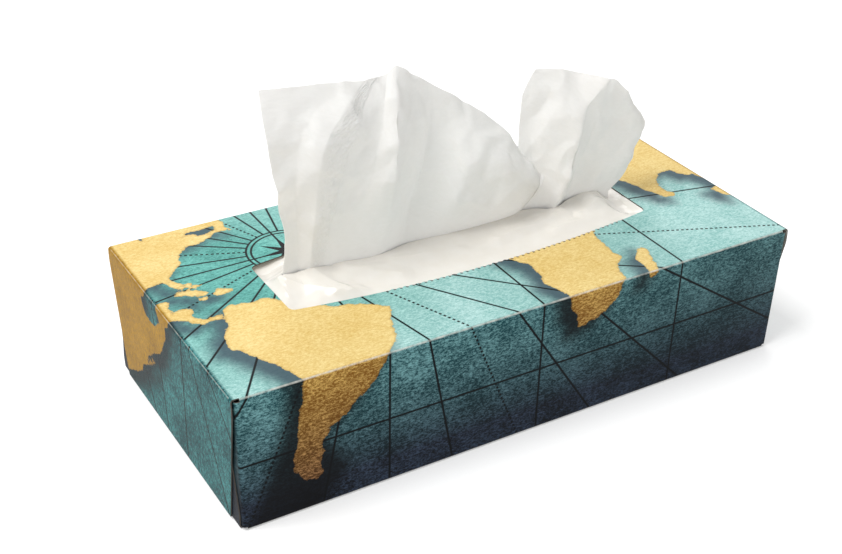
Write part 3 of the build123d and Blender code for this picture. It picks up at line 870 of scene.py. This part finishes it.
sides = net_sides(net)
flat_net = net.reshape(-1, 3)
freedom = np.zeros(net.shape[:2])
freedom[:, foot_rows:] = np.clip(np.linspace(0, 3.0, net.shape[1] - foot_rows), 0, 1)
ridges = np.abs(lumps(flat_net, 17.0, 1.0)) - np.abs(lumps(flat_net, 15.0, 4.0))
creases = np.abs(lumps(flat_net, 8.0, 6.0)) - np.abs(lumps(flat_net, 7.0, 8.0))
dents = lumps(flat_net, 5.0, 5.0)
push = (RIDGE_PUSH * ridges + CREASE_PUSH * creases + DENT_PUSH * dents).reshape(net.shape[:2]) * freedom
net = net + sides * push[..., None]
sides = net_sides(net)
steps_across, steps_up = net.shape[:2]
number = np.arange(steps_across * steps_up).reshape(steps_across, steps_up)
quads = np.stack([number[:-1, :-1], number[1:, :-1], number[1:, 1:], number[:-1, 1:]], axis=-1)
quads = [tuple(int(i) for i in quad) for quad in quads.reshape(-1, 4)]
tissue_points, tissue_faces, _ = thin_sheet(net.reshape(-1, 3), sides.reshape(-1, 3), quads, TISSUE)
print("tissue moved by up to", round(float(np.abs(push).max()), 1), "mm")

# %% [markdown]
# ## Tissue paper
# Facial tissue is creped bleached pulp: white, quite matt, thin enough to glow a little when lit from
# behind, with fine crepe ripples and one embossed band that bonds its two plies. The crepe's real pitch of
# about 0.3 mm is too fine to show, so it is drawn at 1.1 mm.

# %% Creped two-ply tissue
CREPE, BOND = 1.1, 1.4
SHEET_WIDTH = 205.0
level_line = net[:, foot_rows + 2 * STEPS_UP]
across_sheet = np.concatenate([[0], np.cumsum(np.linalg.norm(np.diff(level_line, axis=0), axis=1))])
across_sheet *= SHEET_WIDTH / across_sheet[-1]
BOND_FROM, BOND_TO = across_sheet[int(2.1 * STEPS_ALONG)], across_sheet[int(2.85 * STEPS_ALONG)]
print("bonded band from", round(BOND_FROM, 1), "to", round(BOND_TO, 1), "mm across the sheet")


def tissue_material(name):
    """Creped tissue that reads the place on its own sheet from the attribute called sheet."""
    material = empty_material(name)
    tree = material.node_tree
    place = add(tree, "Attribute", attribute_name="sheet").outputs["Vector"]
    across, _, _ = add(tree, "SeparateXYZ", {"Vector": place}).outputs
    stretched = add(tree, "Mapping", {"Vector": place, "Scale": (0.6, 1.0, 1.0)})
    crepe = add(tree, "TexNoise", {"Vector": stretched, "Scale": 1 / CREPE, "Detail": 3, "Roughness": 0.6})
    knobs = add(tree, "TexVoronoi", {"Vector": place, "Scale": 1 / BOND}).outputs["Distance"]
    in_band = add(tree, "Math", {0: across, 1: (BOND_FROM + BOND_TO) / 2}, operation="SUBTRACT")
    in_band = add(tree, "Math", {0: in_band}, operation="ABSOLUTE")
    in_band = add(tree, "MapRange", {"Value": in_band, "From Min": (BOND_TO - BOND_FROM) / 2,
                                     "From Max": (BOND_TO - BOND_FROM) / 2 - 1.5})
    knobs = add(tree, "Math", {0: knobs, 1: in_band}, operation="MULTIPLY")
    crepe_bump = add(tree, "Bump", {"Strength": 0.4, "Distance": 0.0002, "Height": crepe})
    bond_bump = add(tree, "Bump", {"Strength": 0.5, "Distance": 0.0008, "Height": knobs,
                                   "Normal": crepe_bump})
    pulp = add(tree, "Mix", {"Factor": crepe, "A": "#f2f1ef", "B": "#f9f8f7"}, data_type="RGBA")
    matt = add(tree, "BsdfPrincipled", {"Base Color": pulp, "Roughness": 0.95, "IOR": 1.45,
                                        "Specular IOR Level": 0.25, "Normal": bond_bump})
    glow = add(tree, "BsdfTranslucent", {"Color": pulp, "Normal": bond_bump})
    sheet = add(tree, "MixShader", {0: 0.5, 1: matt, 2: glow})
    add(tree, "OutputMaterial", {"Surface": sheet})
    return material


tissue_paper = tissue_material("creped_two_ply_tissue_matt")
tissue = new_piece("standing_tissue", tissue_points, tissue_faces, [tissue_paper], [0] * len(tissue_faces))
height_up = np.concatenate([np.zeros((steps_across, 1)),
                            np.cumsum(np.linalg.norm(np.diff(net, axis=1), axis=2), axis=1)], axis=1)
width_along = np.tile(across_sheet[:, None], (1, steps_up))
on_sheet = np.stack([width_along, height_up, np.zeros_like(height_up)], axis=-1).reshape(-1, 3)
store(tissue, "sheet", "FLOAT_VECTOR", np.tile(on_sheet, (2, 1)))
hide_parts("pop_up_tissue")

# %% [markdown]
# ## The film
# A thin clear plastic film is glued under the top panel. A slit along its middle lets one tissue through,
# and each tissue that was pulled out has drawn its lips up and creased it. It is made as a height over the
# plan: flat where it is glued, rising to the lips, with drawn wrinkles, and slack at the left where it has
# come away from the board.

# %% Film form
FILM = 0.1
FILM_MARGIN, FILM_RISE = 8.0, 3.3
LIP_MARGIN = 3.0
LIP_GAP = 0.2
FILM_LEVEL = HEIGHT - BOARD - FILM / 2
FILM_SHARP = 16  # degrees: film creases look sharp from this bend on
waist = net[:, foot_rows]
lip_xs = np.linspace(waist[0, 0] - 0.3, waist[-1, 0] + 0.3, 145)
near_waist = np.abs(lip_xs[:, None] - waist[:, 0]) < 2.5
front_lip = np.where(near_waist, waist[:, 1], 99).min(1) - LIP_GAP
back_lip = np.where(near_waist, waist[:, 1], -99).max(1) + LIP_GAP
even = np.ones(5) / 5
front_lip, back_lip = (np.convolve(np.pad(lip, 2, "edge"), even, "valid") for lip in (front_lip, back_lip))
slit = list(zip(lip_xs, back_lip)) + list(zip(lip_xs[::-1], front_lip[::-1]))
FILM_CREASES = [  # both ends of each sharp crease in plan, its height and its half width
    ((-73, 0), (-58, -15), 1.8, 6.0),
    ((-60, -2), (-52, -18), 2.0, 7.0),
    ((-66, 9), (-73, -6), 1.6, 6.0),
    ((-48, -5), (-32, -14), 1.4, 6.0),
    ((-30, -6), (-4, -9), 0.7, 4.0),
    ((12, -10), (44, -6), 0.9, 4.0),
    ((36, -13), (62, -11), 0.7, 4.0),
    ((50, -9), (74, -3), 1.0, 3.0),
    ((58, -4), (67, -14), 0.9, 3.0),
]


def film_height(plan):
    """Height of the film's middle over each place in plan."""
    x, y = plan[:, 0], plan[:, 1]
    foot = bowed(x, OPENING_LENGTH, OPENING_END - 2 * LIP_MARGIN, OPENING_MIDDLE - 2 * LIP_MARGIN)
    front, back = np.interp(x, lip_xs, front_lip), np.interp(x, lip_xs, back_lip)
    slope = np.where(y < (front + back) / 2, (foot + y) / (foot + front), (foot - y) / (foot - back))
    slope = np.clip(slope, 0, 1) ** 1.4 * np.clip((OPENING_LENGTH / 2 - np.abs(x)) / 12.0, 0, 1)
    rise = FILM_RISE + 3.0 * np.exp(-((x - 60) / 7) ** 2)
    free = np.clip((bowed(x, OPENING_LENGTH, OPENING_END, OPENING_MIDDLE) - np.abs(y)) / 3.0, 0, 1)
    free *= np.clip((OPENING_LENGTH / 2 - np.abs(x)) / 3.0, 0, 1)
    drawn = lumps(np.column_stack([x * 0.22, y, 0 * x]), 5.0, 3.0)
    slack = np.clip((-36 - x) / 12, 0, 1)
    facets = 0.5 - 2 * np.abs(lumps(np.column_stack([x, y * 0.8, 0 * x]), 13.0, 7.0))
    for (x0, y0), (x1, y1), high, wide in FILM_CREASES:
        way = np.array([x1 - x0, y1 - y0]) / math.hypot(x1 - x0, y1 - y0)
        along = np.clip((x - x0) * way[0] + (y - y0) * way[1], 0, math.hypot(x1 - x0, y1 - y0))
        aside = np.hypot(x - x0 - along * way[0], y - y0 - along * way[1])
        drawn = drawn + 2 * high * np.clip(1 - aside / wide, 0, 1)
    loose = 2.2 * np.exp(-((x + 70) / 10) ** 2 - ((y - 14) / 7) ** 2)
    loose += 2.0 * free * np.exp(-((x - 70) / 6) ** 2 - ((y + 2) / 14) ** 2)
    return FILM_LEVEL + rise * slope + free * (0.5 * drawn + 0.8 * slack * facets) - loose


film_half = (OPENING_LENGTH / 2 + FILM_MARGIN, OPENING_MIDDLE / 2 + FILM_MARGIN)
film_xs = np.linspace(-film_half[0], film_half[0], 169)
film_ys = np.linspace(-film_half[1], film_half[1], 63)
film_grid = np.array([(x, y) for x in film_xs for y in film_ys])
edge = [(x, -film_half[1]) for x in film_xs[:-1]] + [(film_half[0], y) for y in film_ys[:-1]]
edge += [(-x, -y) for x, y in edge]
plan, film_triangles = triangulate([edge, slit], film_grid, 0.4)
film_middle = np.column_stack([plan, film_height(plan)])
film_up = np.tile((0.0, 0.0, 1.0), (len(plan), 1))
film_points, film_faces, _ = thin_sheet(film_middle, film_up, film_triangles, FILM)
print("film from", film_middle[:, 2].min().round(1), "to", film_middle[:, 2].max().round(1), "mm high")

# %% [markdown]
# Film of this kind is blown polyethylene: clear with a milky haze, glossy, and a little warm over white
# paper. A glass-like shader would keep the lamps out of the box, so haze and clear share the surface by
# plain alpha.

# %% Blown polyethylene film
film_material = empty_material("blown_polyethylene_film_glossy")
tree = film_material.node_tree
place = add(tree, "TexCoord").outputs["Object"]
CRINKLE = 5.0 * MM
crinkle = add(tree, "TexNoise", {"Vector": place, "Scale": 1 / CRINKLE, "Detail": 3, "Roughness": 0.5})
haze = add(tree, "Mix", {"Factor": crinkle, "A": "#f2ede3", "B": "#faf7f1"}, data_type="RGBA")
creases = add(tree, "Bump", {"Strength": 0.3, "Distance": 0.0004, "Height": crinkle})
surface = add(tree, "BsdfPrincipled", {"Base Color": haze, "Roughness": 0.2, "IOR": 1.51, "Alpha": 0.88,
                                       "Normal": creases})
add(tree, "OutputMaterial", {"Surface": surface})
film = new_piece("slit_film", film_points, film_faces, [film_material], [0] * len(film_faces),
                 FILM_SHARP)
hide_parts("opening_film")

# %% [markdown]
# ## The stack
# Under the film lies a block of about 130 tissues, each folded into the next. Its long sides show rows of
# rounded folds and its ends the cut edges. The real pitch of 0.33 mm is finer than the picture shows, so
# the rows here are 1.3 mm apart. Six patches of a grid box make it, and noise lets the rows wander.

# %% Stack form
STACK_LENGTH, STACK_DEPTH, STACK_ROUND = 205.0, 102.0, 3.0
STACK_HEIGHT = HEIGHT - STACK_HEADROOM
LAYER = 1.3


def stack_point(x_share, y_share, z_share):
    """A point of the stack's surface from shares between -1 and 1; at least one of them is -1 or 1."""
    z = STACK_HEIGHT / 2 * (1 + z_share)
    from_flat = np.maximum(0, STACK_ROUND - np.minimum(z, STACK_HEIGHT - z))
    inset = STACK_ROUND - np.sqrt(np.maximum(0, STACK_ROUND ** 2 - from_flat ** 2))
    return np.stack([x_share * STACK_LENGTH / 2, y_share * (STACK_DEPTH / 2 - inset), BOARD + z], axis=-1)


def stack_patches():
    """Points and faces of the six sides, joined where they meet."""
    across, along = np.linspace(-1, 1, 41), np.linspace(-1, 1, 61)
    up = np.linspace(-1, 1, 133)
    patches = []
    for end in (-1.0, 1.0):
        y, z = np.meshgrid(across, up, indexing="ij")
        patches.append((stack_point(np.full_like(y, end), y, z), (end, 0, 0)))
        x, z = np.meshgrid(along, up, indexing="ij")
        patches.append((stack_point(x, np.full_like(x, end), z), (0, end, 0)))
        x, y = np.meshgrid(along, across, indexing="ij")
        patches.append((stack_point(x, y, np.full_like(x, end)), (0, 0, end)))
    index, points, faces = {}, [], []
    for patch, way in patches:
        ids = np.zeros(patch.shape[:2], int)
        for i, j in np.ndindex(ids.shape):
            key = tuple(patch[i, j].round(4))
            if key not in index:
                index[key] = len(points)
                points.append(patch[i, j])
            ids[i, j] = index[key]
        turned = np.dot(np.cross(patch[1, 0] - patch[0, 0], patch[0, 1] - patch[0, 0]), way) < 0
        for i, j in np.ndindex(ids.shape[0] - 1, ids.shape[1] - 1):
            face = (ids[i, j], ids[i + 1, j], ids[i + 1, j + 1], ids[i, j + 1])
            faces.append(tuple(int(k) for k in (reversed(face) if turned else face)))
    return np.array(points), faces


stack_points, stack_faces = stack_patches()
wander = lumps(stack_points * (0.4, 0.4, 1.0), 12.0, 2.0)
layer_wave = np.abs(np.sin(math.pi * (stack_points[:, 2] + 0.5 * wander) / LAYER))
at_stack_end = np.abs(np.abs(stack_points[:, 0]) - STACK_LENGTH / 2) < 1e-6
from_half_way = np.abs(stack_points[:, 2] - BOARD - STACK_HEIGHT / 2)
at_stack_side = ~at_stack_end & (from_half_way < STACK_HEIGHT / 2 - 0.1)
sunk = 0.35 * (1 - layer_wave) + 0.3 * np.abs(wander)
for way, belongs in ((0, at_stack_end), (1, at_stack_side)):
    stack_points[:, way] -= np.sign(stack_points[:, way]) * np.where(belongs, sunk, 0)
on_stack_top = stack_points[:, 2] > BOARD + STACK_HEIGHT - 0.01
stack_points[:, 2] -= np.where(on_stack_top, 0.5 * np.abs(lumps(stack_points, 22.0, 9.0)), 0)
stack_paper = tissue_material("creped_two_ply_tissue_stacked")
stack = new_piece("folded_stack", stack_points, stack_faces, [stack_paper], [0] * len(stack_faces))
store(stack, "sheet", "FLOAT_VECTOR", stack_points + (SHEET_WIDTH / 2, 0, 0))
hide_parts("tissue_stack")

# %% [markdown]
# ## Floor and light
# The photograph is a cut-out on white under soft light from above. A floor of matt white paper, which takes a
# soft shadow and no gloss, and a white world give that look. One wide lamp above the left gives the soft
# shading, a weaker one behind lights the back, and the world fills the sides. Only what is seen of the
# background is lifted to white, so the object itself stays at a plain level.

# %% Floor
FLOOR_SIZE, FLOOR_DROP = 4.0, 0.0002
LIFT_NEAR, LIFT_FAR = 0.32, 0.65


def seen_directly(tree):
    """1 for rays that show the background straight, through film or in a gloss, and 0 for its light."""
    rays = add(tree, "LightPath").outputs
    seen = add(tree, "Math", {0: rays["Is Camera Ray"], 1: rays["Is Transmission Ray"]}, operation="MAXIMUM")
    return add(tree, "Math", {0: seen, 1: rays["Is Glossy Ray"]}, operation="MAXIMUM")


floor_mesh = bpy.data.meshes.new("floor")
half = FLOOR_SIZE / 2
floor_corners = [(x * half, y * half, -FLOOR_DROP) for x, y in ((-1, -1), (1, -1), (1, 1), (-1, 1))]
floor_mesh.from_pydata(floor_corners, [], [(0, 1, 2, 3)])
floor = bpy.data.objects.new("floor", floor_mesh)
bpy.context.scene.collection.objects.link(floor)
paper_floor = empty_material("white_paper_sweep_matt")
tree = paper_floor.node_tree
seen = seen_directly(tree)
spot = add(tree, "TexCoord").outputs["Object"]
far_off = add(tree, "VectorMath", {0: spot}, operation="LENGTH").outputs["Value"]
lift = add(tree, "MapRange", {"Value": far_off, "From Min": 0.2, "From Max": 1.0, "To Min": LIFT_NEAR,
                              "To Max": LIFT_FAR})
lift = add(tree, "Math", {0: seen, 1: lift}, operation="MULTIPLY")
paper = add(tree, "BsdfDiffuse", {"Color": "#ececec"})
white = add(tree, "Emission", {"Color": "#ffffff", "Strength": lift})
both = add(tree, "AddShader", {0: paper, 1: white})
add(tree, "OutputMaterial", {"Surface": both})
floor_mesh.materials.append(paper_floor)
print("floor", FLOOR_SIZE, "m wide")

# %% World and lamps
FILL_LIGHT, SEEN_WHITE = 0.5, 1.0
world = bpy.data.worlds.new("studio")
bpy.context.scene.world = world
world.use_nodes = True
tree = world.node_tree
tree.nodes.clear()
seen = seen_directly(tree)
strength = add(tree, "MapRange", {"Value": seen, "To Min": FILL_LIGHT, "To Max": SEEN_WHITE})
sky = add(tree, "Background", {"Color": "#ffffff", "Strength": strength})
add(tree, "OutputWorld", {"Surface": sky})


def soft_lamp(name, at, towards, size, watts):
    """A square area lamp aimed at a point."""
    data = bpy.data.lights.new(name, "AREA")
    data.shape = "SQUARE"
    data.size = size
    data.energy = watts
    lamp = bpy.data.objects.new(name, data)
    lamp.location = at
    lamp.rotation_euler = (Vector(towards) - Vector(at)).to_track_quat("-Z", "Y").to_euler()
    bpy.context.scene.collection.objects.link(lamp)


BOX_MIDDLE = (0, 0, 0.05)
soft_lamp("ceiling_panel", (-0.62, -0.02, 1.1), BOX_MIDDLE, 0.6, 11.0)
soft_lamp("window_panel", (0.5, 1.0, 0.8), BOX_MIDDLE, 0.7, 4.0)
bpy.context.scene.view_settings.view_transform = "Standard"

# %% Update the view layer
bpy.context.view_layer.update()
